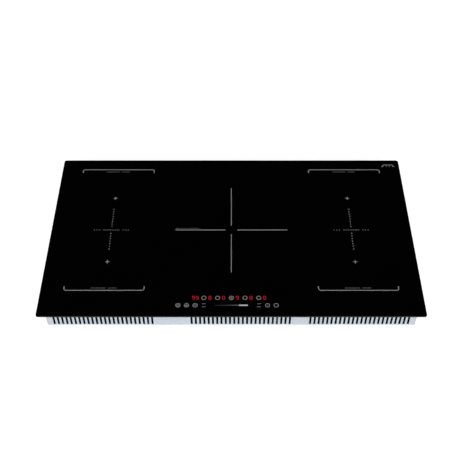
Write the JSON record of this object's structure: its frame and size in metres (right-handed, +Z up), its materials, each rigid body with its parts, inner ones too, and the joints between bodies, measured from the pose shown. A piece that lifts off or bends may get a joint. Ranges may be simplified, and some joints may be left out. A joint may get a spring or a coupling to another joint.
{
  "type": "built-in induction cooktop",
  "caption": "Built-in induction cooktop with a black glass top, touch controls, a vented sheet-metal pan, sprung coil trays, blowers and power electronics inside.",
  "frame": {"origin": "centre of the cooktop on the worktop's surface, which is the underside of the seal round the glass", "axes": "+X to the cook's right, +Y to the rear, +Z up out of the worktop; the touch controls are at the front, -Y"},
  "size_m": [0.9, 0.52, 0.06],
  "materials": {
    "black_glass": "polished black glass ceramic with a grey print",
    "seal_foam": "matt closed-cell foam",
    "silicone": "matt cured silicone",
    "galvanised_steel": "zinc-coated sheet, satin, slightly blue",
    "screw_steel": "zinc plated",
    "tray_aluminium": "mill finish sheet",
    "former_plastic": "glass-filled black moulding",
    "copper_wire": "enamelled stranded copper",
    "ferrite": "sintered, matt",
    "mica": "pressed mica sheet",
    "sensor_ceramic": "white ceramic capsule",
    "blower_plastic": "black moulding",
    "motor_metal": "laminated steel and a bearing tube",
    "circuit_board": "green solder mask",
    "heatsink_aluminium": "extruded, satin",
    "chip_plastic": "moulded package",
    "capacitor_plastic": "potted box",
    "choke_core": "lacquered ring core",
    "standoff_plastic": "natural nylon",
    "contact_rubber": "conductive foam",
    "display_plastic": "dark tinted digit block",
    "terminal_plastic": "grey flame-retardant moulding",
    "gland_plastic": "black nylon",
    "lead_sheath": "insulated lead",
    "print_enamel": "grey ceramic ink fired onto the glass",
    "digit_glow": "red seven-segment digits, lit"
  },
  "bodies": {
    "casing": {"glass_panel": "black_glass", "worktop_seal": "seal_foam", "glass_adhesive": "silicone", "support_frame": "galvanised_steel", "base_pan": "galvanised_steel", "pan_screws": "screw_steel", "spring_posts": "former_plastic", "tray_springs_left": "screw_steel", "tray_springs_centre": "screw_steel", "tray_springs_right": "screw_steel", "blower_housing_left": "blower_plastic", "blower_housing_right": "blower_plastic", "blower_lid_left": "blower_plastic", "blower_lid_right": "blower_plastic", "blower_motor_left": "motor_metal", "blower_motor_right": "motor_metal", "power_board_left": "circuit_board", "power_board_right": "circuit_board", "heatsink_left": "heatsink_aluminium", "heatsink_right": "heatsink_aluminium", "power_transistors": "chip_plastic", "film_capacitors": "capacitor_plastic", "filter_chokes": "choke_core", "filter_board": "circuit_board", "board_standoffs": "standoff_plastic", "control_board": "circuit_board", "touch_contacts": "contact_rubber", "display_modules": "display_plastic", "control_bracket": "former_plastic", "terminal_housing": "terminal_plastic", "terminal_block": "terminal_plastic", "cable_gland": "gland_plastic", "mains_leads": "lead_sheath"},
    "sprung_tray_left": {"coil_tray_left": "tray_aluminium", "coil_former_front_left": "former_plastic", "coil_winding_front_left": "copper_wire", "ferrite_bars_front_left": "ferrite", "coil_former_rear_left": "former_plastic", "coil_winding_rear_left": "copper_wire", "ferrite_bars_rear_left": "ferrite", "insulation_sheet_left": "mica", "temperature_sensors_left": "sensor_ceramic"},
    "sprung_tray_centre": {"coil_tray_centre": "tray_aluminium", "coil_former_centre": "former_plastic", "coil_winding_centre": "copper_wire", "ferrite_bars_centre": "ferrite", "insulation_sheet_centre": "mica", "temperature_sensors_centre": "sensor_ceramic"},
    "sprung_tray_right": {"coil_tray_right": "tray_aluminium", "coil_former_front_right": "former_plastic", "coil_winding_front_right": "copper_wire", "ferrite_bars_front_right": "ferrite", "coil_former_rear_right": "former_plastic", "coil_winding_rear_right": "copper_wire", "ferrite_bars_rear_right": "ferrite", "insulation_sheet_right": "mica", "temperature_sensors_right": "sensor_ceramic"},
    "blower_wheel_left": {"blower_rotor_left": "blower_plastic"},
    "blower_wheel_right": {"blower_rotor_right": "blower_plastic"},
    "terminal_door": {"terminal_cover": "terminal_plastic"}
  },
  "joints": [
    {"name": "tray_left_press", "type": "slide", "parent": "casing", "child": "sprung_tray_left", "axis": [0, 0, 1], "range_m": [-0.003, 0], "stiffness_N_per_m": 6000, "springref_m": 0.006, "deforming": ["tray_springs_left"]},
    {"name": "tray_centre_press", "type": "slide", "parent": "casing", "child": "sprung_tray_centre", "axis": [0, 0, 1], "range_m": [-0.003, 0], "stiffness_N_per_m": 6000, "springref_m": 0.006, "deforming": ["tray_springs_centre"]},
    {"name": "tray_right_press", "type": "slide", "parent": "casing", "child": "sprung_tray_right", "axis": [0, 0, 1], "range_m": [-0.003, 0], "stiffness_N_per_m": 6000, "springref_m": 0.006, "deforming": ["tray_springs_right"]},
    {"name": "blower_left_spin", "type": "hinge", "parent": "casing", "child": "blower_wheel_left", "pos_m": [-0.2996, 0.1522, -0.03355], "axis": [0, 0, 1], "continuous": true},
    {"name": "blower_right_spin", "type": "hinge", "parent": "casing", "child": "blower_wheel_right", "pos_m": [0.2996, 0.1522, -0.03355], "axis": [0, 0, 1], "continuous": true},
    {"name": "terminal_door_hinge", "type": "hinge", "parent": "casing", "child": "terminal_door", "pos_m": [0.2996, 0.2402, -0.047], "axis": [-1, 0, 0], "range_deg": [0, 90]}
  ]
}
